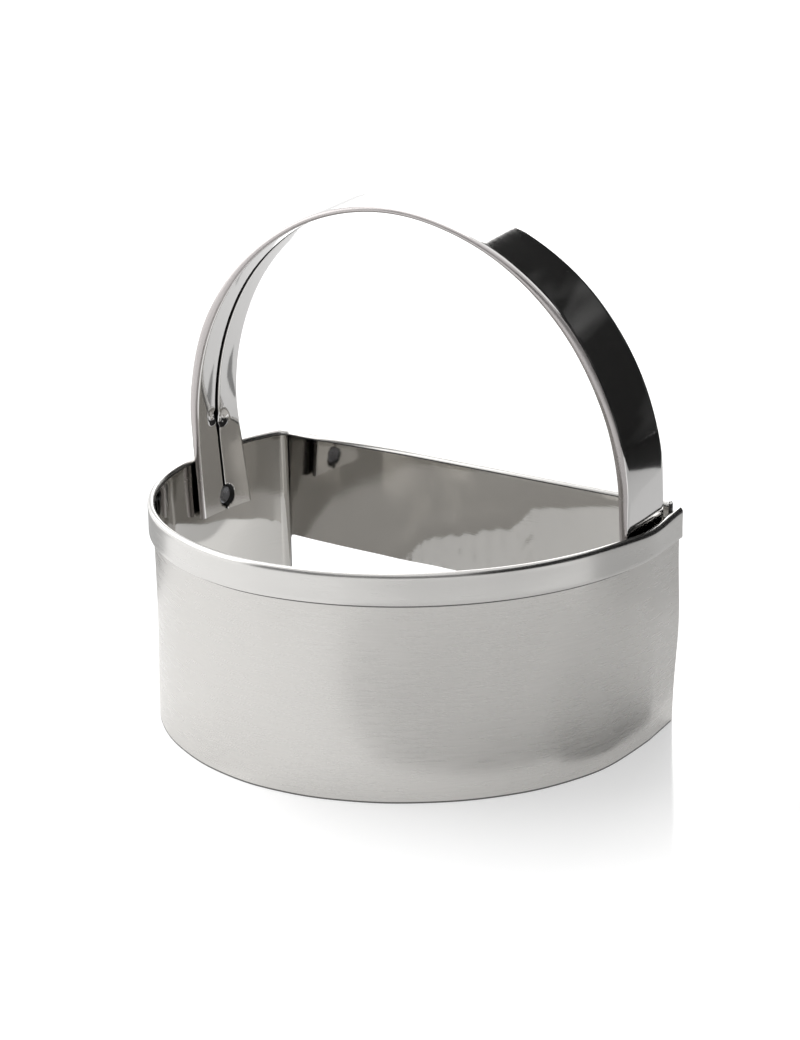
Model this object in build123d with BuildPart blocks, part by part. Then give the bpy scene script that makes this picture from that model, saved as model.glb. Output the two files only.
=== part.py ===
from build123d import *
import math
import os

# Sheet steel, millimetres
sheet = 0.5
hem_gap = 0.45
hem_total = 2 * sheet + hem_gap
hem_height = 5.9
fold_height = 0.7
fold_rounding = 0.6

# Cutter wall: a half-moon plan whose flat side is at the back, measured on its inner face
cutter_height = 43.4
cavity_depth = 67.2
half_width = 49.6
widest_from_back = 16.1
front_radius = 39.4
back_wall_height = 22.0
left_bend_radius = 2.0
right_straight_length = 9.0
free_end_overhang = 1.8
hem_end_overhang = 1.0
notch_inset = 0.9
notch_rounding = 1.0

# Lap at the right-hand back corner, where the strip's two ends meet
lap_gap = 0.15
lap_length = 3.4
lap_bend_radius = 0.5
ear_length = 0.6
ear_height = 0.9
lap_weld_radius = 1.1
lap_weld_heights = (25.5, 33.5)
lap_weld_inset = 1.5

# Handle: a folded strap bent to an arch, turned and leaning a little, as made by hand
strap_thickness = 1.6
strap_rounding = 0.6
bow_half_width = 48.2
bow_rise = 49.4
crown_radius = 44.0
bow_turn = 5.0
bow_lean = 6.1
bow_from_back = 13.9
bow_pivot_height = 35.0
bow_widest_height = 15.9
leg_bottom_height = 30.8
leg_half_width = 8.2
strap_half_width = 7.4
crown_half_width = 6.4
press_depth = 0.45
press_radius = 2.0
press_height = 14.6
draw_in_radius = 12.0
seam_width = 0.6
seam_depth = 0.9
leg_weld_radius = 2.1
leg_weld_height = -1.3
leg_weld_setback = 0.4
leg_weld_recess = 0.4

# How far a cutting shape runs past the face it cuts
past = 1.0

os.makedirs("parts", exist_ok=True)


def side_arc_radius(half, reach, end_radius):
    """Radius of a side arc that is widest at a half-width and runs smoothly into an end arc."""
    return (half**2 + reach**2 - end_radius**2) / (2 * (half - end_radius))


# The origin is under the middle of the whole outline
outline_depth = hem_total + cavity_depth + free_end_overhang
front_y = hem_total - outline_depth / 2
back_y = front_y + cavity_depth
side_y = back_y - widest_from_back
front_centre_y = front_y + front_radius
reach = side_y - front_centre_y
side_radius = side_arc_radius(half_width, reach, front_radius)
side_inset = side_radius - half_width
side_centre = Vector(-side_inset, side_y)
window_height = cutter_height - back_wall_height
hem_bottom = cutter_height - hem_height
fold_bottom = cutter_height - fold_height


def side_x(y):
    """Distance from the middle to the side arc at a depth."""
    return math.sqrt(side_radius**2 - (y - side_y) ** 2) - side_inset


# The right-hand wall runs straight for its last stretch, so that the back wall's end can lap inside it
straight_reach = widest_from_back - right_straight_length
straight_outward = Vector(math.sqrt(side_radius**2 - straight_reach**2), straight_reach).normalized()


def straight_x(offset, y):
    """Distance from the middle to the straight stretch of the right-hand wall at a depth, offset outwards."""
    return side_centre.X + (side_radius + offset - (y - side_y) * straight_outward.Y) / straight_outward.X


def bend_points(centre, outward, radius):
    """Side end, middle and back end of a back corner's bend."""
    middle = (outward + Vector(0, 1)).normalized()
    return [centre + direction * radius for direction in (outward, middle, Vector(0, 1))]


left_bend_reach = back_y - left_bend_radius - side_y
left_bend_x = math.sqrt((side_radius - left_bend_radius) ** 2 - left_bend_reach**2) - side_inset
lap_face = -lap_gap - sheet
lap_bend_y = back_y - lap_bend_radius
lap_bend_x = straight_x(lap_face - lap_bend_radius, lap_bend_y)


def curved_line(offset, overhang=free_end_overhang):
    """The curved wall's line, from its free end round the front to the left-hand bend."""
    lean_in = Vector(side_inset, -reach).normalized()
    joint = Vector(0, front_centre_y) + lean_in * (front_radius + offset)
    start = (straight_x(offset, back_y + overhang), back_y + overhang)
    straight_end = side_centre + straight_outward * (side_radius + offset)
    bend_centre = Vector(-left_bend_x, back_y - left_bend_radius)
    outward = Vector(-left_bend_x - side_inset, left_bend_reach).normalized()
    side_end, middle, back_end = bend_points(bend_centre, outward, left_bend_radius + offset)
    Line(start, straight_end)
    ThreePointArc(straight_end, (half_width + offset, side_y), joint)
    ThreePointArc(joint, (0, front_y - offset), (-joint.X, joint.Y))
    ThreePointArc((-joint.X, joint.Y), (-half_width - offset, side_y), side_end)
    ThreePointArc(side_end, middle, back_end)
    return start, back_end


def back_line(offset):
    """The straight back wall's line."""
    start = (-left_bend_x, back_y + offset)
    end = (lap_bend_x, back_y + offset)
    Line(start, end)
    return start, end


def rim_line(offset):
    """The line of the hem: the curved wall and the back wall together."""
    start, _ = curved_line(offset, hem_end_overhang)
    _, end = back_line(offset)
    return start, end


def lap_line(offset, length):
    """The back wall's end, bent forwards to lie inside the side wall."""
    bend_centre = Vector(lap_bend_x, lap_bend_y)
    side_end, middle, back_end = bend_points(bend_centre, straight_outward, lap_bend_radius + offset)
    end = (straight_x(lap_face + offset, back_y - length), back_y - length)
    ThreePointArc(back_end, middle, side_end)
    Line(side_end, end)
    return back_end, end


def strip(line, near, far, height):
    """Plan of a strip of sheet between two offsets of a line, at a height."""
    with BuildSketch(Plane.XY.offset(height)) as plan:
        with BuildLine():
            near_start, near_end = line(near)
            far_start, far_end = line(far)
            Line(near_start, far_start)
            Line(near_end, far_end)
        make_face()
    return plan.sketch


def lap_plane(height):
    """A plane on the lap's inner face at a weld, facing outwards."""
    weld_y = back_y - lap_length + lap_weld_inset
    return Plane((straight_x(lap_face, weld_y), weld_y, height), x_dir=(0, 0, 1), z_dir=straight_outward)


# The space inside the cutter, as far as the sheet's inner face
with BuildSketch() as cavity:
    with BuildLine():
        Line(*curved_line(0))
    make_face()

# The folded top of the hem, rounded along both edges
with BuildPart() as rim_fold:
    extrude(strip(rim_line, 0, hem_total, fold_bottom), amount=fold_height)
    top_edges = rim_fold.faces().sort_by(Axis.Z)[-1].edges()
    fillet(top_edges.filter_by(lambda edge: edge.length > 2 * hem_total), radius=fold_rounding)

# Cutter wall: one strip of sheet, hemmed outwards, open under its back wall
with BuildPart() as cutter_wall:
    extrude(strip(curved_line, 0, sheet, 0), amount=fold_bottom)
    with BuildSketch(Plane((0, back_y + sheet + past, 0), x_dir=(1, 0, 0), z_dir=(0, -1, 0))):
        with BuildLine():
            notch_x = notch_inset - side_x(back_y)
            notch_corner = (notch_x, window_height)
            FilletPolyline((0, window_height), notch_corner, (notch_x, -past), radius=notch_rounding)
            Polyline((notch_x, -past), (0, -past), (0, window_height))
        make_face()
    extrude(amount=left_bend_radius + sheet + past, mode=Mode.SUBTRACT)
    extrude(strip(back_line, 0, sheet, window_height), amount=fold_bottom - window_height)
    extrude(
        strip(lambda offset: lap_line(offset, lap_length), 0, sheet, window_height),
        amount=fold_bottom - window_height,
    )
    extrude(
        strip(lambda offset: lap_line(offset, lap_bend_radius + ear_length), 0, sheet, fold_bottom),
        amount=fold_height + ear_height,
    )
    extrude(strip(rim_line, sheet + hem_gap, hem_total, hem_bottom), amount=fold_bottom - hem_bottom)
    add(rim_fold.part)
    for weld_height in lap_weld_heights:
        with BuildSketch(lap_plane(weld_height).offset(-sheet)):
            Circle(lap_weld_radius)
    extrude(amount=2 * sheet + lap_gap / 2, mode=Mode.SUBTRACT)
cutter_wall.part.label = "cutter_wall"

# Welds that close the lap: each fills its hole and ends on the side wall's inner face
with BuildPart() as lap_welds:
    for weld_height in lap_weld_heights:
        with BuildSketch(lap_plane(weld_height)):
            Circle(lap_weld_radius)
    extrude(amount=2 * sheet)
    extrude(cavity.sketch, amount=cutter_height, mode=Mode.INTERSECT)
lap_welds.part.label = "lap_welds"

# The handle's own plane: turned about the upright, and leaning forwards at its top
turn = math.radians(bow_turn)
lean = math.radians(bow_lean)
along = Vector(math.cos(turn), math.sin(turn), 0)
across = Vector(-math.sin(turn) * math.cos(lean), math.cos(turn) * math.cos(lean), math.sin(lean))
bow_origin = (0, back_y - bow_from_back, bow_pivot_height)
bow_plane = Plane(bow_origin, x_dir=along, z_dir=across * -1)
crown_reach = bow_rise - crown_radius
bow_side_radius = side_arc_radius(bow_half_width, crown_reach, crown_radius)
bow_side_inset = bow_side_radius - bow_half_width
crown_height = bow_widest_height + bow_rise
leg_end = leg_bottom_height - bow_pivot_height - 2 * past
strap_inside = bow_half_width - strap_thickness


def hoop_line(inset):
    """The handle's arch and legs in its own plane, inset from its outer face."""
    half = bow_half_width - inset
    lean_in = Vector(bow_side_inset, crown_reach).normalized()
    halfway = (Vector(1, 0) + lean_in).normalized()
    side = Vector(-bow_side_inset, bow_widest_height) + halfway * (bow_side_radius - inset)
    joint = Vector(0, crown_height - crown_radius) + lean_in * (crown_radius - inset)
    ThreePointArc((-joint.X, joint.Y), (0, crown_height - inset), (joint.X, joint.Y))
    for hand in (-1, 1):
        Line((hand * half, leg_end), (hand * half, bow_widest_height))
        ThreePointArc((hand * half, bow_widest_height), (hand * side.X, side.Y), (hand * joint.X, joint.Y))
    return half


def hoop(outer_inset, inner_inset):
    """The handle's outline in its own plane, between two insets from its outer face."""
    with BuildSketch(bow_plane) as outline:
        with BuildLine():
            outer_half = hoop_line(outer_inset)
            inner_half = hoop_line(inner_inset)
            for hand in (-1, 1):
                Line((hand * outer_half, leg_end), (hand * inner_half, leg_end))
        make_face()
    return outline.sketch


def leg_plane(hand, distance, height, setback=0):
    """A plane across one leg of the handle, facing outwards, set back from the strap's middle."""
    centre = bow_plane.from_local_coords((hand * distance, height, -setback))
    return Plane(centre, x_dir=across, z_dir=along * hand)


def runs_lengthways(edge):
    """Whether an edge runs along the strap, and not across its width or its thickness."""
    return edge.length > past + strap_thickness and abs(edge.tangent_at(0.5).dot(across)) < 0.5


# Handle: a flat strap whose sides draw in from the pressed legs to the crown
with BuildPart() as handle_strap:
    extrude(hoop(0, strap_thickness), amount=leg_half_width + past, both=True)
    with BuildSketch(Plane(bow_origin, x_dir=across, z_dir=along)):
        with BuildLine():
            strap_top = crown_height + past
            FilletPolyline(
                (leg_half_width, leg_end),
                (strap_half_width, press_height),
                (crown_half_width, strap_top),
                radius=draw_in_radius,
            )
            Polyline((crown_half_width, strap_top), (0, strap_top), (0, leg_end), (leg_half_width, leg_end))
        make_face()
        mirror(about=Plane.YZ)
    extrude(amount=bow_half_width + past, both=True, mode=Mode.INTERSECT)
    fillet(handle_strap.edges().filter_by(runs_lengthways), radius=strap_rounding)
    split(bisect_by=Plane.XY.offset(leg_bottom_height))
    seam_bottom = strap_thickness - seam_depth
    extrude(hoop(seam_bottom, strap_thickness + past), amount=seam_width / 2, both=True, mode=Mode.SUBTRACT)
    press_sphere = (press_radius**2 + press_depth**2) / (2 * press_depth)
    for hand in (-1, 1):
        with Locations(leg_plane(hand, strap_inside + press_depth - press_sphere, press_height)):
            Sphere(press_sphere, mode=Mode.SUBTRACT)
        with BuildSketch(leg_plane(hand, strap_inside - past, leg_weld_height, leg_weld_setback)):
            Circle(leg_weld_radius)
    extrude(amount=strap_thickness + 2 * past, mode=Mode.SUBTRACT)
handle_strap.part.label = "handle_strap"


def leg_weld(hand):
    """The weld through one leg, hollowed on the inside and ending on the wall's inner face."""
    with BuildPart() as weld:
        weld_start = strap_inside + leg_weld_recess
        with BuildSketch(leg_plane(hand, weld_start, leg_weld_height, leg_weld_setback)):
            Circle(leg_weld_radius)
        extrude(amount=half_width - strap_inside + past)
        extrude(cavity.sketch, amount=cutter_height, mode=Mode.INTERSECT)
    return weld


left_leg_weld = leg_weld(-1)
left_leg_weld.part.label = "left_leg_weld"
right_leg_weld = leg_weld(1)
right_leg_weld.part.label = "right_leg_weld"

export_step(cutter_wall.part, "parts/cutter_wall.step")
export_step(handle_strap.part, "parts/handle_strap.step")
export_step(left_leg_weld.part, "parts/left_leg_weld.step")
export_step(right_leg_weld.part, "parts/right_leg_weld.step")
export_step(lap_welds.part, "parts/lap_welds.step")
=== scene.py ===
import math

import bmesh
import bpy
from mathutils import Matrix, Vector


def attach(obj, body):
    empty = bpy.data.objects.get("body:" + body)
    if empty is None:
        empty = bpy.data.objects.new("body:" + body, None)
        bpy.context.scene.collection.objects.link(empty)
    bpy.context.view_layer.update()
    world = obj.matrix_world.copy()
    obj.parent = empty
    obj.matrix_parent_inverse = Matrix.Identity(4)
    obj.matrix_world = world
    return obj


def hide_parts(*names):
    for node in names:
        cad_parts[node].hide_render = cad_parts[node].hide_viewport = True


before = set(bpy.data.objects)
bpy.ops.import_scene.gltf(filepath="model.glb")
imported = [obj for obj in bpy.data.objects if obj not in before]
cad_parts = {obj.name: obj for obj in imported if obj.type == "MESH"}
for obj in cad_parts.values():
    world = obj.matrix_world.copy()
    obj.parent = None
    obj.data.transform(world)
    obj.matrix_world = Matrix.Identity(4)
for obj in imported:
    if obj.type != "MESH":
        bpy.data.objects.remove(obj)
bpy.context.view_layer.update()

# Sizes of the wall, in millimetres
MILLIMETRE = 0.001
SHEET = 0.5
HEM_GAP = 0.45
HEM_TOTAL = 1.45
HEM_BOTTOM = 37.5
HEM_GAP_MIDDLE = 40
HEM_GAP_TOP = 42
FOLD_BOTTOM = 42.4
FOLD_HEIGHT = 1.0
BACK_Y = 33.425
SIDE_Y = 17.325
SIDE_RADIUS = 51.21
SIDE_INSET = 1.61
FRONT_RADIUS = 39.4
FRONT_Y = 5.625
WINDOW_TOP = 20.9
NOTCH_X = -46.1
NOTCH_ROUNDING = 1.0
LEFT_BEND_RADIUS = 2.0
STRAIGHT_RISE = 7.1
STRAIGHT_TURN = math.asin(STRAIGHT_RISE / SIDE_RADIUS)
LAP_GAP = 0.15
LAP_LENGTH = 3.4
LAP_BEND_RADIUS = 0.5
LAP_FACE = -LAP_GAP - SHEET
EAR_TOP = 44.3
EAR_LENGTH = 0.6
TAB_END = 35.1
HEM_END = 34.425

# Material slots of the wall and of the handle. The wall's cut-edge slot is painted shade: dark on
# the cut edges, at the wall's foot, in the hem's gap, under the hem and along the rim's inner fold
OUTSIDE, INSIDE, HEM, CUT_EDGE_SHADE, SHADOW = range(5)
STRAP_FACE, STRAP_SEAM, STRAP_EDGE = range(3)

TEXTURE_UNIT = 100


def blend(value, start, end):
    """0 before start, 1 after end, and a smooth rise between them."""
    t = min(1.0, max(0.0, (value - start) / (end - start)))
    return t * t * (3 - 2 * t)


def bump(value, centre, width):
    """1 at the centre, falling smoothly towards 0 on both sides of it."""
    return math.exp(-(((value - centre) / width) ** 2))


def spaced(start, end, step):
    """Evenly spaced values from start to end, both included."""
    count = max(1, round(abs(end - start) / step))
    return [start + (end - start) * i / count for i in range(count + 1)]


# Meshes

class Builder:
    """Collects grid faces with texture coordinates into one smooth mesh."""

    def __init__(self, name, materials):
        self.name = name
        self.materials = materials
        self.mesh = bmesh.new()
        self.uv = self.mesh.loops.layers.uv.new("surface")
        self.places = {}

    def vertex(self, point, uv):
        corner = self.mesh.verts.new([c * MILLIMETRE for c in point])
        self.places[corner] = uv
        return corner

    def face(self, corners, slot):
        """A face, unless corners that fall together leave it without area."""
        corners = [c for i, c in enumerate(corners) if c is not corners[i - 1]]
        if len(corners) < 3:
            return
        face = self.mesh.faces.new(corners)
        face.material_index = slot
        face.smooth = True
        for loop in face.loops:
            u, v = self.places[loop.vert]
            loop[self.uv].uv = (u / TEXTURE_UNIT, v / TEXTURE_UNIT)

    def finish(self, sharp=35):
        """The finished object, with edges marked sharp above an angle in degrees."""
        self.mesh.normal_update()
        bmesh.ops.recalc_face_normals(self.mesh, faces=self.mesh.faces)
        limit = math.radians(sharp)
        for edge in self.mesh.edges:
            if len(edge.link_faces) == 2 and edge.calc_face_angle(0) > limit:
                edge.smooth = False
        data = bpy.data.meshes.new(self.name)
        self.mesh.to_mesh(data)
        self.mesh.free()
        for material in self.materials:
            data.materials.append(material)
        thing = bpy.data.objects.new(self.name, data)
        bpy.context.scene.collection.objects.link(thing)
        return thing


# Plan of the wall: stretches that follow each other. Each has a length, and gives a point on the
# inner face and its outward normal at a share of that length.

def arc_stretch(centre, radius, start, end):
    def at(t):
        turn = start + (end - start) * t
        normal = Vector((math.cos(turn), math.sin(turn)))
        return Vector(centre) + normal * radius, normal
    return abs(end - start) * radius, at


def line_stretch(start, end, normal):
    start, end, normal = Vector(start), Vector(end), Vector(normal)
    return (end - start).length, lambda t: (start.lerp(end, t), normal)


def straight_place(offset, y):
    """A point of the straight right-hand stretch, offset outwards from its inner face."""
    across = SIDE_RADIUS + offset - (y - SIDE_Y) * math.sin(STRAIGHT_TURN)
    return (across / math.cos(STRAIGHT_TURN) - SIDE_INSET, y)


SIDE_NORMAL = (math.cos(STRAIGHT_TURN), math.sin(STRAIGHT_TURN))
straight_end = (
    SIDE_RADIUS * math.cos(STRAIGHT_TURN) - SIDE_INSET,
    SIDE_Y + SIDE_RADIUS * math.sin(STRAIGHT_TURN),
)
nose_turn = math.atan2(SIDE_INSET, SIDE_Y - FRONT_Y)
nose_start = nose_turn - math.pi / 2
left_bend_y = BACK_Y - LEFT_BEND_RADIUS
left_bend_reach = left_bend_y - SIDE_Y
left_bend_arm = SIDE_RADIUS - LEFT_BEND_RADIUS
left_bend_x = math.sqrt(left_bend_arm ** 2 - left_bend_reach ** 2) - SIDE_INSET
left_turn = math.pi - math.asin(left_bend_reach / left_bend_arm)
lap_bend_y = BACK_Y - LAP_BEND_RADIUS
lap_bend_x = straight_place(LAP_FACE - LAP_BEND_RADIUS, lap_bend_y)[0]

RIGHT_STRAIGHT = line_stretch(straight_place(0, HEM_END), straight_end, SIDE_NORMAL)
RIGHT_ARC = arc_stretch((-SIDE_INSET, SIDE_Y), SIDE_RADIUS, STRAIGHT_TURN, nose_start)
NOSE_ARC = arc_stretch((0, FRONT_Y), FRONT_RADIUS, nose_start, -nose_turn - math.pi / 2)
LEFT_ARC = arc_stretch((SIDE_INSET, SIDE_Y), SIDE_RADIUS, 3 * math.pi / 2 - nose_turn, left_turn)
LEFT_BEND = arc_stretch((-left_bend_x, left_bend_y), LEFT_BEND_RADIUS, left_turn, math.pi / 2)
BACK_WALL = line_stretch((-left_bend_x, BACK_Y), (lap_bend_x, BACK_Y), (0, 1))


# Unevenness of the wall

# The back wall's dish: places across and heights of its wavy border
DISH_LINE = (
    (-17, 20.9), (-11.5, 25.2), (-8.5, 26.8), (1, 29.2),
    (11, 32), (16, 37.4), (25, 38.8), (36, 40.7),
)
DISH_LEFT = -8.5
DISH_REACH = 23.9
DISH_FOOT = 17.5
DISH_FOOT_RISE = 5.5
DISH_CURVE = 0.0097
DISH_CURVE_FALL = 0.0023
DISH_STEEPER = 1.12
DISH_FLATTER = 0.72
DISH_FADE = 4.5
DISH_DEEPEST = 1.2
DISH_STEPS = 20

# Dents at the lower edge: distance outwards, and compass angle and spread in degrees
LOW_DENTS = ((0.5, -132, 14), (-0.85, 3, 10))
LOW_DENTS_TOP = 24
# Places by the left-hand corner: the same, and the heights between which they grow
CORNER_DENTS = ((0.2, -178, 25, 4, 34), (-0.3, -172, 14, 12, 28))
SWELL = 0.3
SWELL_HEIGHT = 21
SLOW_WAVE = 0.05
FINE_WAVE = 0.03

# The hem's outer leaf follows the back wall's dish only in part
HEM_FOLLOWS = 0.3
CORNER_X = -46
CORNER_PUSH = (0.4, 0.3)
CORNER_LIFT = 0.25
BACK_LIFT = 0.6
RIGHT_DIP = 0.7


def dish_top(x):
    """Height of the wavy border below which the back wall is dished outwards."""
    if x <= DISH_LINE[0][0]:
        return DISH_LINE[0][1]
    for (x0, z0), (x1, z1) in zip(DISH_LINE, DISH_LINE[1:]):
        if x < x1:
            ripple = 0.25 * math.sin(1.7 * x) * bump(x, 4, 8)
            return z0 + (z1 - z0) * (x - x0) / (x1 - x0) + ripple
    return DISH_LINE[-1][1]


def dish(x, z):
    """How far the dish stands out: it gets steeper up to its border and flattens out above it."""
    if z >= FOLD_BOTTOM:
        return 0.0
    share = min(1.0, max(0.0, (x - DISH_LEFT) / DISH_REACH))
    foot = DISH_FOOT + DISH_FOOT_RISE * share
    curve = DISH_CURVE - DISH_CURVE_FALL * share - 0.001 * blend(x, 15, 36)
    border = dish_top(x)
    rise = (FOLD_BOTTOM - z) / DISH_STEPS
    total = 0.0
    for k in range(DISH_STEPS):
        h = z + rise * (k + 0.5)
        steep = DISH_STEEPER if h < border else DISH_FLATTER * bump(h, border, DISH_FADE)
        total += steep * curve * max(0.0, h - foot) * rise
    return min(total, DISH_DEEPEST) * blend(x, -36, -15)


def gentle_wave(slow, fine):
    return SLOW_WAVE * math.sin(slow) + FINE_WAVE * math.sin(fine)


def sag(place, normal, z, flat_back):
    """How far the sheet stands off its true line, as a strip bent by hand does."""
    x = place[0]
    if flat_back:
        from_left = blend(x, -45, -36)
        from_right = 1 - blend(x, 40, 46)
        low = max(0.0, FOLD_BOTTOM - z) / (FOLD_BOTTOM - WINDOW_TOP)
        uneven = gentle_wave(x * 0.19 + 0.6, x * 0.43 + z * 0.21)
        return (uneven * from_left * low + dish(x, z)) * from_right
    turn = math.degrees(math.atan2(normal[1], normal[0]))
    turn -= 360 if turn > 90.001 else 0
    dents = sum(out * bump(turn, at, width) for out, at, width in LOW_DENTS)
    dents *= 1 - blend(z, 0, LOW_DENTS_TOP)
    swell = SWELL * blend(turn, -12, 8) * bump(z, SWELL_HEIGHT, 9) * (1 - blend(turn, 20, 60))
    uneven = gentle_wave(math.radians(turn) * 9 + z * 0.06, math.radians(turn) * 23 - z * 0.11)
    corner = sum(
        out * bump(turn, at, width) * blend(z, low, high)
        for out, at, width, low, high in CORNER_DENTS
    )
    free = 1 - blend(z, 30, HEM_BOTTOM)
    return (dents + swell + uneven * blend(turn, -196, -184)) * free + corner


# The wall

# Heights of the rows of points, below and above the back wall's lower edge
LOW_ROWS = [0.0, 0.3] + spaced(1.4, WINDOW_TOP - 1.2, 1.1)
HIGH_ROWS = spaced(WINDOW_TOP + 0.6, FOLD_BOTTOM, 1.0)
NOTCH_ROW = len(LOW_ROWS)
BRIGHT_EDGE = 0.5
FOLD_STEPS = 14
# Turn of the fold, in radians, up to which the rim's inner side is painted dark as shade
FOLD_LINE = 0.3
LEAF_STEPS = 8
LEAF_HOLLOW = 0.04
LEAF_ROUNDING = 0.25
# Height of the band of painted shade under the hem, in the dark cut-edge colour
HEM_SHADE = 0.55
OUTER_TOP = 37


def wall_profile(notch_height):
    """Offset, height and slot of each point of the section: up the inner face, over the hem and
    down the outer face."""
    rows = LOW_ROWS + [notch_height] + HIGH_ROWS
    up = [(0.0, z, INSIDE if z > BRIGHT_EDGE else HEM) for z in rows]
    middle = HEM_TOTAL / 2
    fold = []
    for i in range(1, FOLD_STEPS + 1):
        a = math.pi * i / FOLD_STEPS
        # painted shade: where the rim turns over from the inner face, a thin line takes the dark
        # cut-edge colour
        slot = CUT_EDGE_SHADE if a < FOLD_LINE else HEM
        fold.append((middle * (1 - math.cos(a)), FOLD_BOTTOM + FOLD_HEIGHT * math.sin(a), slot))
    leaf = []
    leaf_height = FOLD_BOTTOM - HEM_BOTTOM - LEAF_ROUNDING
    for i in range(1, LEAF_STEPS + 1):
        t = i / LEAF_STEPS
        hollow = LEAF_HOLLOW * math.sin(math.pi * t)
        leaf.append((HEM_TOTAL - hollow, FOLD_BOTTOM - leaf_height * t, HEM))
    under = SHEET + HEM_GAP
    lip = [
        (HEM_TOTAL - 0.03, HEM_BOTTOM + 0.03, HEM),
        (HEM_TOTAL - 0.09, HEM_BOTTOM, HEM),
        (under, HEM_BOTTOM, CUT_EDGE_SHADE),
    ]
    # painted shade: the faces inside the hem's gap, and a band of the outer face just under the hem,
    # take the dark cut-edge colour
    gap = [
        (under, HEM_GAP_MIDDLE, CUT_EDGE_SHADE),
        (under, HEM_GAP_TOP, CUT_EDGE_SHADE),
        (SHEET, HEM_GAP_TOP, CUT_EDGE_SHADE),
        (SHEET, HEM_GAP_MIDDLE, CUT_EDGE_SHADE),
        (SHEET, HEM_BOTTOM, CUT_EDGE_SHADE),
        (SHEET, HEM_BOTTOM - HEM_SHADE, CUT_EDGE_SHADE),
    ]
    outer = [z for z in reversed(rows) if z < OUTER_TOP]
    # painted shade: the lowest row of the outer face, at the floor, takes the dark cut-edge colour
    down = [(SHEET, z, OUTSIDE if z > 0 else CUT_EDGE_SHADE) for z in outer]
    return up + fold + leaf + lip + gap + down


def wall_point(place, normal, offset, z, flat_back):
    """A point of the wall, off its true line and lifted or lowered where the rim isn't level."""
    follows = HEM_FOLLOWS if flat_back and offset > SHEET + 0.1 else 1.0
    out = offset + sag(place, normal, z, flat_back) * follows
    if flat_back:
        lift = (CORNER_LIFT + BACK_LIFT * blend(place.x, -48, -12)) * max(0.0, z - WINDOW_TOP)
        lift /= FOLD_BOTTOM - WINDOW_TOP
    else:
        towards_corner = CORNER_LIFT * blend(place.y, BACK_Y - 22, left_bend_y)
        lift = towards_corner * blend(-place.x, 0, 30) * blend(z, 10, 40)
        beside_leg = RIGHT_DIP * bump(place.y, SIDE_Y + 5, 9)
        lift -= beside_leg * blend(place.x, 20, 40) * blend(z, 36, 43)
    corner = bump(place.x, CORNER_X, 7) * bump(place.y, BACK_Y, 9)
    return (
        place.x + normal.x * out + CORNER_PUSH[0] * corner,
        place.y + normal.y * out + CORNER_PUSH[1] * corner,
        z + lift,
    )


def wall_columns():
    """Places along the strip: a point on the inner face, its normal, the length so far, and
    whether it is on the flat back."""
    columns = []
    travelled = 0.0
    for stretch, step, flat_back in (
        (RIGHT_STRAIGHT, 1.0, False),
        (RIGHT_ARC, 1.0, False),
        (NOSE_ARC, 0.8, False),
        (LEFT_ARC, 1.0, False),
        (LEFT_BEND, 0.13, True),
        (BACK_WALL, 0.5, True),
    ):
        length, at = stretch
        for t in spaced(0, 1, step / length):
            if columns and t == 0:
                columns[-1][3] = flat_back
                continue
            place, normal = at(t)
            columns.append([place, normal, travelled + t * length, flat_back])
        travelled += length
    for column in columns:
        if column[0].y < left_bend_y:
            column[3] = False
    return columns


def plain_sheet(builder, points, low, high, far_slot, near_slot=INSIDE, uneven=0):
    """A plain piece of sheet between two heights, along a few places of its inner face."""
    rows = spaced(low, high, 1.2)
    slots = (near_slot, far_slot)
    rings = []
    for place, normal, s in points:
        ring = []
        for offset, heights in ((0, rows), (SHEET, reversed(rows))):
            for z in heights:
                out = offset + uneven * sag(place, normal, z, False)
                point = (place[0] + normal[0] * out, place[1] + normal[1] * out, z)
                ring.append(builder.vertex(point, (s, z)))
        rings.append(ring)
    count = len(rows)
    for a, b in zip(rings, rings[1:]):
        for j in range(2 * count):
            slot = CUT_EDGE_SHADE if j in (count - 1, 2 * count - 1) else slots[j // count]
            k = (j + 1) % (2 * count)
            builder.face((a[j], b[j], b[k], a[k]), slot)
    builder.face(rings[0], CUT_EDGE_SHADE)
    builder.face(rings[-1], CUT_EDGE_SHADE)


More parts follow.
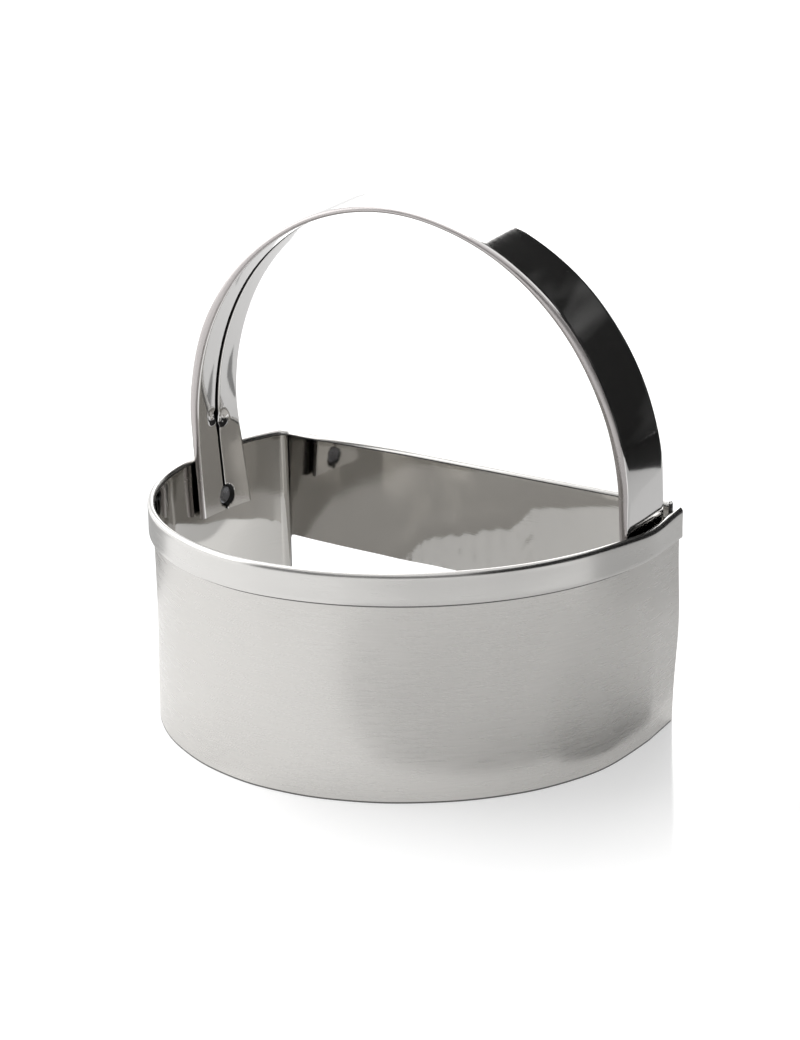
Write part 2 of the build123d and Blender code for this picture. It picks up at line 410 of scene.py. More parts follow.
def build_wall(materials):
    """The hemmed strip with its half-height back, then its free end, the lap and the ear."""
    builder = Builder("wall_sheet", materials)
    columns = wall_columns()
    past_notch = [c[0].x > NOTCH_X - 0.05 and c[3] for c in columns]
    notch = past_notch.index(True)
    columns[notch][0].x = NOTCH_X
    grid = []
    for index, (place, normal, s, flat_back) in enumerate(columns):
        reach = max(0.0, min(NOTCH_ROUNDING, place.x - NOTCH_X)) if index >= notch else 0.0
        rise = math.sqrt(NOTCH_ROUNDING ** 2 - (NOTCH_ROUNDING - reach) ** 2)
        line = wall_profile(WINDOW_TOP - NOTCH_ROUNDING + rise)
        column = [None] * len(line)
        for j, (offset, z, _) in enumerate(line):
            if index <= notch or NOTCH_ROW <= j <= len(line) - 1 - NOTCH_ROW:
                point = wall_point(place, normal, offset, z, flat_back)
                column[j] = builder.vertex(point, (s, z))
        grid.append(column)

    slots = [slot for _, _, slot in wall_profile(WINDOW_TOP)]
    last = len(slots) - 1
    top = last - NOTCH_ROW
    for i in range(len(grid) - 1):
        low, high = (NOTCH_ROW, top) if i >= notch else (0, last)
        for j in range(low, high):
            corners = (grid[i][j], grid[i + 1][j], grid[i + 1][j + 1], grid[i][j + 1])
            builder.face(corners, slots[j + 1])
        corners = (grid[i][low], grid[i][high], grid[i + 1][high], grid[i + 1][low])
        builder.face(corners, CUT_EDGE_SHADE)
    end = grid[notch]
    for j in range(NOTCH_ROW):
        builder.face((end[j], end[j + 1], end[last - j - 1], end[last - j]), CUT_EDGE_SHADE)
    builder.face(grid[0], CUT_EDGE_SHADE)
    builder.face(grid[-1][NOTCH_ROW:top + 1], CUT_EDGE_SHADE)

    tab = [(straight_place(0, y), SIDE_NORMAL, y) for y in (TAB_END, HEM_END)]
    plain_sheet(builder, tab, 0, FOLD_BOTTOM, OUTSIDE, uneven=1)
    bend = []
    for t in spaced(math.pi / 2, STRAIGHT_TURN, 0.14):
        normal = (math.cos(t), math.sin(t))
        place = (lap_bend_x + normal[0] * LAP_BEND_RADIUS, lap_bend_y + normal[1] * LAP_BEND_RADIUS)
        bend.append((place, normal, t))
    lap_depths = spaced(lap_bend_y, BACK_Y - LAP_LENGTH, 0.7)[1:]
    lap = [(straight_place(LAP_FACE, y), SIDE_NORMAL, y) for y in lap_depths]
    plain_sheet(builder, bend + lap, WINDOW_TOP, FOLD_BOTTOM, INSIDE)
    ear = (straight_place(LAP_FACE, lap_bend_y - EAR_LENGTH), SIDE_NORMAL, 0)
    plain_sheet(builder, bend + [ear], FOLD_BOTTOM, EAR_TOP, SHADOW, SHADOW)
    return builder.finish()


# Handle: an arch in its own plane, turned about the upright and leaning forwards at its top

STRAP_THICKNESS = 1.6
STRAP_BACK = STRAP_THICKNESS - 0.08
FACE_HOLLOW = 0.05
EDGE_RADIUS = 0.7
EDGE_DEPTH = 0.735
SEAM_HALF_WIDTH = 0.46
SEAM_FLOOR = 0.5
SEAM_LIP = 0.4
BACK_SWELL = 0.07
BOW_HALF = 48.2
BOW_RISE = 49.4
CROWN_RADIUS = 44.0
BOW_TURN = math.radians(5.0)
BOW_LEAN = math.radians(6.1)
ORIGIN_HEIGHT = 35.0
BOW_ORIGIN = Vector((0, BACK_Y - 13.9, ORIGIN_HEIGHT))
WIDEST_HEIGHT = 15.9
LEG_BOTTOM = 30.8
LEG_TOP = 20
PRESS_HEIGHT = 14.6
PRESS_CENTRE = 15.3
# The two dents of the crimp: which half of the strap, depth and height
PRESS_DENTS = ((-1, 0.42, 1.3), (1, 0.36, -0.2))
PRESS_APART = 1.7
PRESS_WIDE = 1.5
PRESS_TALL = 1.3
WELD_HEIGHT = -1.3
WELD_BACK = 0.5
WELD_RADIUS = 2.15
# Depth of the weld's hollow from the outer face, on the strap and down in its seam
WELD_FLOOR = 0.82
WELD_SEAM_FLOOR = 0.8
WIDTHS = ((-6.2, 8.2), (PRESS_HEIGHT, 7.4), (66.3, 6.4))
FOOT_FOLLOWS = 0.8
FOOT_REACH = 1.3
FOOT_GAP = 0.45
LEFT_BULGE = 0.7
RIGHT_BULGE = 0.5
RIGHT_BULGE_INSIDE = 0.25
CROWN_THINNING = 0.22
WIDTH_SKEW = 0.25
# Depth from the outer face beyond which a point is on the hollow side
HOLLOW_SIDE = 0.85
# The hollow round each leg weld, on the strap's inner side, is painted shade in the seam's shadow
# colour below this height and past this depth
WELD_SHADE_TOP = 5
WELD_SHADE_DEPTH = 0.25
ALONG = Vector((math.cos(BOW_TURN), math.sin(BOW_TURN), 0))
ACROSS = Vector((
    -math.sin(BOW_TURN) * math.cos(BOW_LEAN),
    math.cos(BOW_TURN) * math.cos(BOW_LEAN),
    math.sin(BOW_LEAN),
))
UPWARD = Vector((
    math.sin(BOW_LEAN) * math.sin(BOW_TURN),
    -math.sin(BOW_LEAN) * math.cos(BOW_TURN),
    math.cos(BOW_LEAN),
))
crown_centre = WIDEST_HEIGHT + BOW_RISE - CROWN_RADIUS
crown_reach = BOW_RISE - CROWN_RADIUS
bow_side_radius = BOW_HALF ** 2 + crown_reach ** 2 - CROWN_RADIUS ** 2
bow_side_radius /= 2 * (BOW_HALF - CROWN_RADIUS)
bow_side_inset = bow_side_radius - BOW_HALF
crown_turn = math.atan2(crown_reach, bow_side_inset)


def strap_half_width(height):
    """Half the strap's width at a height in the handle's plane."""
    (h0, w0), (h1, w1), (h2, w2) = WIDTHS
    if height < h1:
        width = w0 + (w1 - w0) * (height - h0) / (h1 - h0)
    else:
        width = w1 + (w2 - w1) * (height - h1) / (h2 - h1)
    return width - 0.1 * bump(height, h1 + 1.5, 4)


def bow_columns():
    """Places along the handle from the left leg's end to the right leg's end: the outer face and
    its normal in the plane, and the share of the way down a leg."""
    widest = Vector((BOW_HALF, WIDEST_HEIGHT))
    half = [(widest, Vector((1, 0)), share) for share in spaced(1, 0, 0.014)]
    for centre, radius, start, end, step in (
        ((-bow_side_inset, WIDEST_HEIGHT), bow_side_radius, 0, crown_turn, 0.011),
        ((0, crown_centre), CROWN_RADIUS, crown_turn, math.pi / 2, 0.018),
    ):
        for turn in spaced(start, end, step)[1:]:
            normal = Vector((math.cos(turn), math.sin(turn)))
            half.append((Vector(centre) + normal * radius, normal, 0.0))
    left = [(Vector((-p.x, p.y)), Vector((-n.x, n.y)), share) for p, n, share in half]
    return left + list(reversed(half))[1:]


def strap_section(half, height):
    """Place across the width, depth from the outer face and slot of each point, once round."""
    pressed = 1 - blend(height, PRESS_HEIGHT - 2.5, PRESS_HEIGHT)
    groove = SEAM_HALF_WIDTH - 0.14 * pressed + 0.3 * blend(height, 26, 58)
    lip = SEAM_LIP - 0.22 * pressed
    flat = half - EDGE_RADIUS
    face = [(flat * q, FACE_HOLLOW * q * q, STRAP_FACE) for q in spaced(-1, 1, 0.1)]
    side = []
    for a in spaced(0, math.pi, math.pi / 12)[1:-1]:
        slot = STRAP_EDGE if 0.5 < a < 2.7 else STRAP_FACE
        depth = FACE_HOLLOW + EDGE_DEPTH * (1 - math.cos(a))
        side.append((flat + EDGE_RADIUS * math.sin(a), depth, slot))
    start = groove + lip
    for q in spaced(1, 0, 0.035):
        swell = BACK_SWELL * (1 - (2 * q - 1) ** 2) * (1 - 0.6 * pressed)
        side.append((start + (flat - start) * q, STRAP_BACK + swell, STRAP_FACE))
    for a in spaced(0, math.pi / 2, math.pi / 14)[1:]:
        slot = STRAP_SEAM if a > 1 else STRAP_FACE
        side.append((start - lip * math.sin(a), STRAP_BACK - lip * (1 - math.cos(a)), slot))
    side.append((groove - 0.02, STRAP_THICKNESS - 0.14 - lip, STRAP_SEAM))
    side.append((groove - 0.04, SEAM_FLOOR + 0.02, STRAP_SEAM))
    other_side = [(-w, depth, slot) for w, depth, slot in reversed(side)]
    return face + side + [(0.0, SEAM_FLOOR, STRAP_SEAM)] + other_side


def leg_shift(hand, w, h):
    """How far a leg's lower part is pressed outwards to follow the wall that it is welded to."""
    if hand > 0:
        return 0.0
    true = BOW_ORIGIN + ALONG * (hand * BOW_HALF) + UPWARD * h + ACROSS * w
    gap = math.sqrt(SIDE_RADIUS ** 2 - (true.y - SIDE_Y) ** 2) - SIDE_INSET - abs(true.x)
    return FOOT_FOLLOWS * min(FOOT_REACH, max(0.0, gap - FOOT_GAP)) * (1 - blend(h, 8, 34))


def press_mark(w, h):
    """Depth of the crimp that pinches the two folded halves together: one dent on each half."""
    depth = 0.0
    for side, deep, centre in PRESS_DENTS:
        across = (w - side * PRESS_APART) / PRESS_WIDE
        r = math.hypot(across, (h - centre) / PRESS_TALL)
        turn = math.atan2(h - centre, across)
        depth += deep * math.exp(-(r ** 4)) * (1 + 0.35 * math.cos(3 * turn + 1.1 * side))
        depth -= 0.05 * bump(r, 1.35, 0.25) * (1 + 0.6 * math.sin(3 * turn + side))
    return depth


def bulge(hand, h, inset):
    """How far the folded strip stands out beyond its pressed thickness: outwards on both legs,
    and inwards on the right one."""
    outer = 1 - inset / STRAP_THICKNESS
    if hand < 0:
        return LEFT_BULGE * blend(h, 0, 24) * (1 - blend(h, 36, 60)) * outer
    swell = RIGHT_BULGE * outer - RIGHT_BULGE_INSIDE * (1 - outer)
    return swell * blend(h, 2, 20) * (1 - blend(h, 46, 66))


def weld_pit(w, h):
    """1 inside the round hollow of a leg's weld and 0 outside it."""
    r = math.hypot(w - WELD_BACK, h) / WELD_RADIUS
    return 1 - blend(r, 0.9, 1.04)


def build_strap(materials):
    """The folded strip with its seam, its crimps and the hollows of its welds."""
    builder = Builder("handle_strap_folded", materials)
    lean_cos = math.cos(BOW_LEAN)
    lean_sin = math.sin(BOW_LEAN)
    leg_drop = LEG_BOTTOM - ORIGIN_HEIGHT
    rings = []
    weld_hollow_shade = set()
    travelled = 0.0
    before = None
    for place, normal, share in bow_columns():
        hand = 1 if place.x > 0 else -1
        middle = WIDEST_HEIGHT + (leg_drop / lean_cos - WIDEST_HEIGHT) * share if share else place.y
        half = strap_half_width(middle) + WIDTH_SKEW * place.x / BOW_HALF
        if before is not None:
            travelled += (Vector((place.x, middle)) - before).length
        before = Vector((place.x, middle))
        ring = []
        for w, inset, slot in strap_section(half, middle):
            end_height = (leg_drop - w * lean_sin) / lean_cos
            h = place.y + (end_height - WIDEST_HEIGHT) * share
            pit = weld_pit(w, h - WELD_HEIGHT)
            depth = inset * (1 - CROWN_THINNING * blend(middle, 34, 60))
            if inset > HOLLOW_SIDE and middle < LEG_TOP:
                depth -= press_mark(w, h - PRESS_CENTRE) * blend(inset, 0.6, 1.2)
                depth += (WELD_FLOOR - depth) * pit
            elif slot == STRAP_SEAM and middle < LEG_TOP:
                depth += (WELD_SEAM_FLOOR - depth) * pit
            wobble = 0.04 * math.sin(travelled * 0.13) + 0.02 * math.sin(travelled * 0.31 + w * 0.2)
            depth += (wobble + 0.05) * blend(middle, PRESS_HEIGHT, PRESS_HEIGHT + 12)
            depth -= bulge(hand, h, inset)
            flat = Vector((place.x + hand * leg_shift(hand, w, h), h)) - normal * depth
            point = BOW_ORIGIN + ALONG * flat.x + UPWARD * flat.y + ACROSS * w
            corner = builder.vertex(point, (travelled, w))
            # painted shade: corners in a weld's hollow on the inner side mark faces for the seam's
            # shadow colour
            if inset > WELD_SHADE_DEPTH and middle < WELD_SHADE_TOP and pit > 0.02:
                weld_hollow_shade.add(corner)
            ring.append(corner)
        rings.append(ring)

    slots = [slot for _, _, slot in strap_section(strap_half_width(0), 0)]
    count = len(slots)
    for a, b in zip(rings, rings[1:]):
        for j in range(count):
            k = (j + 1) % count
            corners = (a[j], b[j], b[k], a[k])
            pair = (slots[j], slots[k])
            # seam faces and the painted shade in the weld hollows take the seam's shadow colour
            if STRAP_SEAM in pair or any(corner in weld_hollow_shade for corner in corners):
                slot = STRAP_SEAM
            else:
                slot = STRAP_EDGE if pair == (STRAP_EDGE, STRAP_EDGE) else STRAP_FACE
            builder.face(corners, slot)
    builder.face(rings[0], STRAP_FACE)
    builder.face(rings[-1], STRAP_FACE)
    return builder.finish(50)


# Welds

# Radius and distance outwards of each point of a weld's face, from its middle
LEG_WELD_FACE = (
    (0.0, -1.0), (0.5, -1.01), (1.0, -1.06), (1.4, -1.12),
    (1.65, -1.14), (1.76, -1.08), (1.8, -0.98),
)
LEG_WELD_RADIUS = 1.8
LAP_WELD_FACE = ((0.0, -0.02), (0.35, -0.03), (0.6, -0.07), (0.8, -0.1), (0.95, -0.08), (1.1, 0.02))
LAP_WELD_RADIUS = 1.1
LAP_WELD_SETBACK = 1.5
LAP_WELD_HEIGHTS = (25.5, 33.5)
WELD_TURNS = 40
# Heights of the lumps on the welds
LEG_ROUGHNESS = 0.012
LAP_ROUGHNESS = 0.006


def build_round(name, material, profile, place, outward, upright, roughen):
    """A turned piece with a slightly uneven face."""
    builder = Builder(name, [material])
    side = outward.cross(upright).normalized()
    rings = []
    for radius, out in profile:
        ring = []
        for k in range(WELD_TURNS):
            a = 2 * math.pi * k / WELD_TURNS
            lump = roughen * (math.sin(3 * a + 5 * radius) + math.sin(5 * a - 7 * radius) * 0.6)
            wide = max(radius, 0.001) * (1 + 0.03 * math.sin(2 * a + 1))
            x, y = wide * math.cos(a), wide * math.sin(a)
            spot = place + side * x + upright * y + outward * (out + lump)
            ring.append(builder.vertex(spot, (x, y)))
        rings.append(ring)
    for a, b in zip(rings, rings[1:]):
        for k in range(WELD_TURNS):
            n = (k + 1) % WELD_TURNS
            builder.face((a[k], a[n], b[n], b[k]), 0)
    builder.face(rings[0], 0)
    builder.face(rings[-1], 0)
    return builder.finish()


def leg_weld(name, hand, material):
    """A spot weld sunk into the inside of one leg, running out to the wall."""
    reach = BOW_HALF + leg_shift(hand, WELD_BACK, WELD_HEIGHT)
    place = BOW_ORIGIN + ALONG * (hand * reach)
    place = place + UPWARD * (WELD_HEIGHT + 0.15) + ACROSS * (WELD_BACK - 0.25)
    wall_x = math.sqrt(SIDE_RADIUS ** 2 - (place.y - SIDE_Y) ** 2) - SIDE_INSET
    gap = (wall_x - abs(place.x)) / math.cos(BOW_TURN)
    rows = list(LEG_WELD_FACE) + [(LEG_WELD_RADIUS, out) for out in (-0.5, 0.0, gap + 0.1)]
    return build_round(name, material, rows, place, ALONG * hand, UPWARD, LEG_ROUGHNESS)


def lap_welds(material):
    """Two spot welds that show on the inside of the lap as shallow rings."""
    outward = Vector((SIDE_NORMAL[0], SIDE_NORMAL[1], 0))
    upright = Vector((0, 0, 1))
    x, y = straight_place(LAP_FACE, BACK_Y - LAP_LENGTH + LAP_WELD_SETBACK)
    rows = list(LAP_WELD_FACE) + [(LAP_WELD_RADIUS, SHEET + LAP_GAP)]
    spots = []
    for z in LAP_WELD_HEIGHTS:
        place = Vector((x, y, z))
        spots.append(build_round("lap_weld", material, rows, place, outward, upright, LAP_ROUGHNESS))
    first, second = spots
    joined = bmesh.new()
    for spot in spots:
        joined.from_mesh(spot.data)
    joined.to_mesh(first.data)
    joined.free()
    bpy.data.objects.remove(second)
    first.name = "lap_weld_spots"
    return first


# Materials

GRAIN_DETAIL = 4.0
PATCH_DETAIL = 2.0
WAVE_DETAIL = 1.0
PATCH_SCALE = (3, 3, 3)
WAVE_SCALE = (9, 9, 9)
GRAIN_HEIGHT = 0.00002


def new_material(name):
    material = bpy.data.materials.new(name)
    material.use_nodes = True
    tree = material.node_tree
    tree.nodes.clear()
    return material, tree


def noise(tree, vector, scale, detail):
    """A noise whose grain has a given fineness in each direction."""
    mapping = tree.nodes.new("ShaderNodeMapping")
    mapping.inputs["Scale"].default_value = scale
    texture = tree.nodes.new("ShaderNodeTexNoise")
    texture.inputs["Scale"].default_value = 1.0
    texture.inputs["Detail"].default_value = detail
    tree.links.new(vector, mapping.inputs["Vector"])
    tree.links.new(mapping.outputs["Vector"], texture.inputs["Vector"])
    return texture.outputs["Fac"]


def ranged(tree, value, low, high, start=0.3, end=0.7):
    """A value spread from low at start to high at end."""
    spread = tree.nodes.new("ShaderNodeMapRange")
    spread.inputs["From Min"].default_value = start
    spread.inputs["From Max"].default_value = end
    spread.inputs["To Min"].default_value = low
    spread.inputs["To Max"].default_value = high
    tree.links.new(value, spread.inputs["Value"])
    return spread.outputs["Result"]


def combined(tree, operation, first, second):
    node = tree.nodes.new("ShaderNodeMath")
    node.operation = operation
    tree.links.new(first, node.inputs[0])
    tree.links.new(second, node.inputs[1])
    return node.outputs["Value"]


def raised(tree, height, strength, distance):
    """A bump node over a height."""
    node = tree.nodes.new("ShaderNodeBump")
    node.inputs["Strength"].default_value = strength
    node.inputs["Distance"].default_value = distance
    tree.links.new(height, node.inputs["Height"])
    return node


def steel(name, colour, roughness, grain, grain_scale, relief, patch, wave, anisotropy=0.0):
    """Sheet steel: a fine grain along the strip, soft patches, and a slow waviness that bends
    what it mirrors."""
    material, tree = new_material(name)
    output = tree.nodes.new("ShaderNodeOutputMaterial")
    shader = tree.nodes.new("ShaderNodeBsdfPrincipled")
    shader.inputs["Metallic"].default_value = 1.0
    shader.inputs["Anisotropic"].default_value = anisotropy
    place = tree.nodes.new("ShaderNodeUVMap")
    place.uv_map = "surface"
    lines = noise(tree, place.outputs["UV"], grain_scale, GRAIN_DETAIL)
    patches = noise(tree, place.outputs["UV"], PATCH_SCALE, PATCH_DETAIL)
    lines_rough = ranged(tree, lines, roughness - grain, roughness + grain)
    patches_rough = ranged(tree, patches, -grain / 2, grain / 2)
    tree.links.new(combined(tree, "ADD", lines_rough, patches_rough), shader.inputs["Roughness"])
    tint = tree.nodes.new("ShaderNodeMixRGB")
    tint.inputs["Color1"].default_value = [c * (1 - patch) for c in colour] + [1.0]
    tint.inputs["Color2"].default_value = [min(1.0, c * (1 + patch)) for c in colour] + [1.0]
    halves = [ranged(tree, value, 0.0, 0.5) for value in (lines, patches)]
    tree.links.new(combined(tree, "ADD", *halves), tint.inputs["Fac"])
    tree.links.new(tint.outputs["Color"], shader.inputs["Base Color"])
    fine = raised(tree, lines, relief, GRAIN_HEIGHT)
    slow = raised(tree, noise(tree, place.outputs["UV"], WAVE_SCALE, WAVE_DETAIL), 1.0, wave)
    tree.links.new(slow.outputs["Normal"], fine.inputs["Normal"])
    tree.links.new(fine.outputs["Normal"], shader.inputs["Normal"])
    if anisotropy:
        tangent = tree.nodes.new("ShaderNodeTangent")
        tangent.direction_type = "UV_MAP"
        tangent.uv_map = "surface"
        tree.links.new(tangent.outputs["Tangent"], shader.inputs["Tangent"])
    tree.links.new(shader.outputs["BSDF"], output.inputs["Surface"])
    return material


outer_steel = steel(
    "satin_steel", (0.605, 0.592, 0.571), roughness=0.31, grain=0.09,
    grain_scale=(16, 230, 1), relief=0.8, patch=0.09, wave=0.00003, anisotropy=0.5,
)
inner_steel = steel(
    "bright_steel_inside", (0.53, 0.518, 0.497), roughness=0.07, grain=0.02,
    grain_scale=(14, 420, 1), relief=0.1, patch=0.03, wave=0.00006,
)
hem_steel = steel(
    "hem_steel", (0.62, 0.61, 0.593), roughness=0.24, grain=0.04,
    grain_scale=(14, 420, 1), relief=0.2, patch=0.02, wave=0.00002,
)
# painted shade: dark steel for the cut edges, the wall's foot, the hem's gap, the band under the hem
# and the rim's inner fold
edge_shade_steel = steel(
    "cut_edge_shade_steel", (0.15, 0.148, 0.145), roughness=0.35, grain=0.08,
    grain_scale=(300, 300, 1), relief=0.5, patch=0.15, wave=0.00001,
)
strap_steel = steel(
    "bright_strap_steel", (0.75, 0.74, 0.73), roughness=0.07, grain=0.02,
    grain_scale=(10, 160, 1), relief=0.05, patch=0.02, wave=0.00002,
)
seam_shadow = steel(
    "seam_shadow", (0.03, 0.03, 0.03), roughness=0.5, grain=0.1,
    grain_scale=(300, 300, 1), relief=0.5, patch=0.3, wave=0.00001,
)
rolled_edge = steel(
    "rolled_edge_steel", (0.46, 0.435, 0.43), roughness=0.3, grain=0.08,
    grain_scale=(12, 90, 1), relief=0.4, patch=0.1, wave=0.00003,
)
weld_steel = steel(
    "weld_steel", (0.24, 0.245, 0.265), roughness=0.3, grain=0.08,
    grain_scale=(90, 90, 1), relief=0.6, patch=0.25, wave=0.00005,
)

wall = build_wall([outer_steel, inner_steel, hem_steel, edge_shade_steel, seam_shadow])
strap = build_strap([strap_steel, seam_shadow, rolled_edge])
left_weld = leg_weld("left_leg_weld_spot", -1, weld_steel)
right_weld = leg_weld("right_leg_weld_spot", 1, weld_steel)
lap = lap_welds(weld_steel)
for piece, node, slot in (
    (wall, "cutter_wall", "wall_steel"),
    (strap, "handle_strap", "strap_steel"),
    (left_weld, "left_leg_weld", "weld_steel"),
    (right_weld, "right_leg_weld", "weld_steel"),
    (lap, "lap_welds", "weld_steel"),
):
    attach(piece, "root")
    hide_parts(node)


# Floor and light, in metres

FLOOR_HALF = 3
FLOOR_DROP = 0.00002
FLOOR_GREY = 0.65
FLOOR_ROUGHNESS = 0.1
# Distances from this place between which the floor's gloss and glow change
FLOOR_CENTRE = (0.025, 0.012, 0)
NEAR_FLOOR = (0.034, 0.06)
FAR_FLOOR = (0.2, 0.5)
NEAR_GLOSS = 0.55
FAR_GLOSS = 0.5
# painted shade: the floor glows less close to the object than further off
NEAR_GLOW = 0.47
FLOOR_GLOW = 0.53
MOTTLE_SCALE = (4, 4, 7)
CARD_RADIUS = 0.6

# Name, grey, height and corners of each card on the floor, counterclockwise seen from above. The
# front, right and shadow cards are painted shade: darker floor that shows only in the object's
# reflections
FLOOR_CARDS = (
    ("light_floor_card", 0.75, 0.001, ((-0.15, 0.06), (0.1, 0.09), (0.1, 0.9), (-0.15, 0.9))),
    ("dark_floor_card", 0.03, 0.001, (
        (0.1, 0.19), (0.18, 0.27), (0.42, 0.42), (0.3, 0.51), (0.1, 0.59),
    )),
    ("left_floor_card", 0.46, 0.002, (
        (-0.2, -0.05), (-0.06, 0.03), (-0.06, 0.118), (-0.2, 0.118),
    )),
    # painted shade: this card and the next stand for the floor shaded by the object at its front and
    # right, seen only in its reflections
    ("front_floor_card", 0.94, 0.001, (
        (0.03, -0.12), (0.12, -0.13), (0.17, -0.04), (0.14, 0.06),
        (0.057, 0.04), (0.056, -0.005), (0.04, -0.03), (0.03, -0.045),
    )),
    ("right_floor_card", 0.87, 0.0012, (
        (0.053, 0.0), (0.14, 0.0), (0.11, 0.09), (0.06, 0.1), (0.04, 0.13), (0.0515, 0.04),
    )),
    ("back_floor_card", 0.68, 0.0007, (
        (0.1, 0.03), (0.3, 0.12), (0.3, 0.4), (0.1, 0.28), (0.06, 0.1),
    )),
    # painted shadow: a thin dark strip of floor, seen only in the object's reflections
    ("painted_shadow_floor_card", 0.26, 0.0015, (
        (-0.022, 0.121), (-0.01, 0.1165), (0.0, 0.1175), (0.008, 0.127),
        (0.022, 0.147), (0.018, 0.148), (-0.006, 0.129),
    )),
)

# Name, place, size, target and radiance of each lamp
SOFTBOXES = (
    ("left_softbox", (-0.56, -0.17, 0.37), (0.84, 0.52), (0, 0, 0.37), 1.5),
    ("top_softbox", (-0.25, -0.05, 0.8), (0.6, 0.6), (0, 0, 0.04), 1.6),
    ("back_softbox", (-0.32, 0.85, 0.52), (0.9, 0.75), (0, 0, 0.06), 1.7),
)
WORLD_STRENGTH = 0.7


def stage_mesh(name, points, faces, material):
    mesh = bpy.data.meshes.new(name)
    mesh.from_pydata(points, [], faces)
    mesh.materials.append(material)
    thing = bpy.data.objects.new(name, mesh)
    bpy.context.scene.collection.objects.link(thing)
    return thing


def seen_rays(tree):
    """1 for what the camera sees, also in a mirror or through glass."""
    path = tree.nodes.new("ShaderNodeLightPath")
    total = path.outputs["Is Camera Ray"]
    for ray in ("Is Glossy Ray", "Is Transmission Ray"):
        total = combined(tree, "MAXIMUM", total, path.outputs[ray])
    return total


def floor_material():
    """A white floor that mirrors the object close to it, with painted shade: its glow is lower close
    to the object.
    """
    material, tree = new_material("white_floor")
    output = tree.nodes.new("ShaderNodeOutputMaterial")
    shader = tree.nodes.new("ShaderNodeBsdfPrincipled")
    shader.inputs["Base Color"].default_value = (FLOOR_GREY, FLOOR_GREY, FLOOR_GREY, 1.0)
    shader.inputs["Roughness"].default_value = FLOOR_ROUGHNESS
    place = tree.nodes.new("ShaderNodeTexCoord")
    away = tree.nodes.new("ShaderNodeVectorMath")
    away.operation = "DISTANCE"
    away.inputs[1].default_value = FLOOR_CENTRE
    tree.links.new(place.outputs["Object"], away.inputs[0])
    distance = away.outputs["Value"]
    near = ranged(tree, distance, NEAR_GLOSS, 0.0, *NEAR_FLOOR)
    far = ranged(tree, distance, 0.0, FAR_GLOSS, *FAR_FLOOR)
    tree.links.new(combined(tree, "ADD", near, far), shader.inputs["Specular IOR Level"])
    glow = tree.nodes.new("ShaderNodeEmission")
    level = ranged(tree, distance, NEAR_GLOW, FLOOR_GLOW, *NEAR_FLOOR)
    strength = combined(tree, "MULTIPLY", seen_rays(tree), level)
    tree.links.new(strength, glow.inputs["Strength"])
    both = tree.nodes.new("ShaderNodeAddShader")
    tree.links.new(shader.outputs["BSDF"], both.inputs[0])
    tree.links.new(glow.outputs["Emission"], both.inputs[1])
    tree.links.new(both.outputs["Shader"], output.inputs["Surface"])
    return material


def card_material(name, grey, mottle):
    """Plain grey card, which lets through what meets it from behind."""
    material, tree = new_material(name)
    output = tree.nodes.new("ShaderNodeOutputMaterial")
    shader = tree.nodes.new("ShaderNodeBsdfDiffuse")
    shader.inputs["Color"].default_value = (grey, grey, grey, 1.0)
    if mottle:
        place = tree.nodes.new("ShaderNodeTexCoord")
        uneven = noise(tree, place.outputs["Object"], MOTTLE_SCALE, PATCH_DETAIL)
        tree.links.new(ranged(tree, uneven, grey, grey + mottle, 0.5, 0.8), shader.inputs["Color"])
    side = tree.nodes.new("ShaderNodeNewGeometry")
    clear = tree.nodes.new("ShaderNodeBsdfTransparent")
    either = tree.nodes.new("ShaderNodeMixShader")
    tree.links.new(side.outputs["Backfacing"], either.inputs["Fac"])
    tree.links.new(shader.outputs["BSDF"], either.inputs[1])
    tree.links.new(clear.outputs["BSDF"], either.inputs[2])
    tree.links.new(either.outputs["Shader"], output.inputs["Surface"])
    return material


def curved_card(name, start, end, top, grey, mottle=0.0):
    """An upright card that stands on the floor, bent round the object between two compass
    angles in degrees from the right-hand side."""
    turns = [math.radians(a) for a in spaced(start, end, 4)]
    points = []
    for a in turns:
        points += [(CARD_RADIUS * math.cos(a), CARD_RADIUS * math.sin(a), z) for z in (0.0, top)]
    faces = [(2 * i + 1, 2 * i + 3, 2 * i + 2, 2 * i) for i in range(len(turns) - 1)]
    card = stage_mesh(name, points, faces, card_material(name, grey, mottle))
    card.visible_camera = False


def floor_card(name, grey, height, corners):
    """A card that lies on the floor and only shows where the object mirrors it."""
    points = [(x, y, height) for x, y in corners]
    card = stage_mesh(name, points, [tuple(range(len(corners)))], card_material(name, grey, 0))
    card.visible_camera = False
    card.visible_diffuse = False
    card.visible_shadow = False


def softbox(name, place, size, target, radiance):
    """A rectangular lamp that faces its target."""
    lamp_data = bpy.data.lights.new(name, "AREA")
    lamp_data.shape = "RECTANGLE"
    lamp_data.size, lamp_data.size_y = size
    lamp_data.energy = radiance * math.pi * size[0] * size[1]
    lamp = bpy.data.objects.new(name, lamp_data)
    bpy.context.scene.collection.objects.link(lamp)
    look = Vector(target) - Vector(place)
    turned = look.to_track_quat("-Z", "Y").to_matrix().to_4x4()
    lamp.matrix_world = Matrix.Translation(place) @ turned
    lamp.visible_camera = False


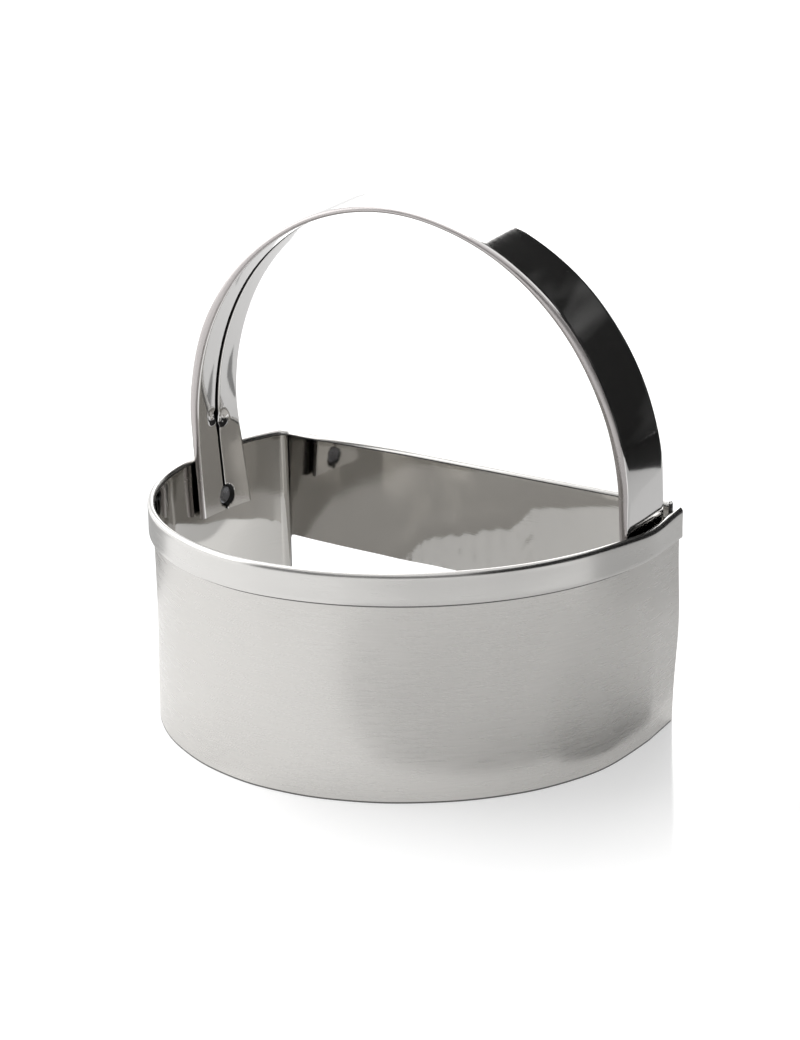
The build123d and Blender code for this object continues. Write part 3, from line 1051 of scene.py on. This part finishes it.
def build_world():
    """Even light all round, and white where the camera or a mirror sees the world."""
    world = bpy.data.worlds.new("studio")
    bpy.context.scene.world = world
    world.use_nodes = True
    tree = world.node_tree
    tree.nodes.clear()
    output = tree.nodes.new("ShaderNodeOutputWorld")
    shown = tree.nodes.new("ShaderNodeMixShader")
    tree.links.new(seen_rays(tree), shown.inputs["Fac"])
    for socket, strength in ((1, WORLD_STRENGTH), (2, 1.0)):
        background = tree.nodes.new("ShaderNodeBackground")
        background.inputs["Color"].default_value = (1, 1, 1, 1)
        background.inputs["Strength"].default_value = strength
        tree.links.new(background.outputs["Background"], shown.inputs[socket])
    tree.links.new(shown.outputs["Shader"], output.inputs["Surface"])


floor_signs = ((-1, -1), (1, -1), (1, 1), (-1, 1))
floor_corners = [(FLOOR_HALF * x, FLOOR_HALF * y, 0) for x, y in floor_signs]
floor = stage_mesh("floor", floor_corners, [(0, 1, 2, 3)], floor_material())
floor.location.z = -FLOOR_DROP
curved_card("dark_card", -25, 99, 0.7, 0.025, 0.16)
curved_card("grey_card", -119, -25, 0.4, 0.35)
for card in FLOOR_CARDS:
    floor_card(*card)
for lamp in SOFTBOXES:
    softbox(*lamp)
build_world()


# Camera, in metres

SENSOR_HEIGHT = 36.0
LENS = 79.528
NEAREST = 0.01
RIGHT_AXIS = (0.79902078, 0.60111653, -0.01499035)
UP_AXIS = (-0.17189023, 0.25222873, 0.95227854)
BACK_AXIS = (0.57621137, -0.75831365, 0.30486205)
CAMERA_PLACE = (0.25370893, -0.32172594, 0.17216627)

camera_data = bpy.data.cameras.new("camera")
camera_data.sensor_fit = "VERTICAL"
camera_data.sensor_height = SENSOR_HEIGHT
camera_data.lens = LENS
camera_data.clip_start = NEAREST
camera = bpy.data.objects.new("camera", camera_data)
bpy.context.scene.collection.objects.link(camera)
rows = [list(row) for row in zip(RIGHT_AXIS, UP_AXIS, BACK_AXIS, CAMERA_PLACE)]
camera.matrix_world = Matrix(rows + [[0, 0, 0, 1]])
bpy.context.scene.camera = camera
bpy.context.scene.view_settings.view_transform = "Standard"
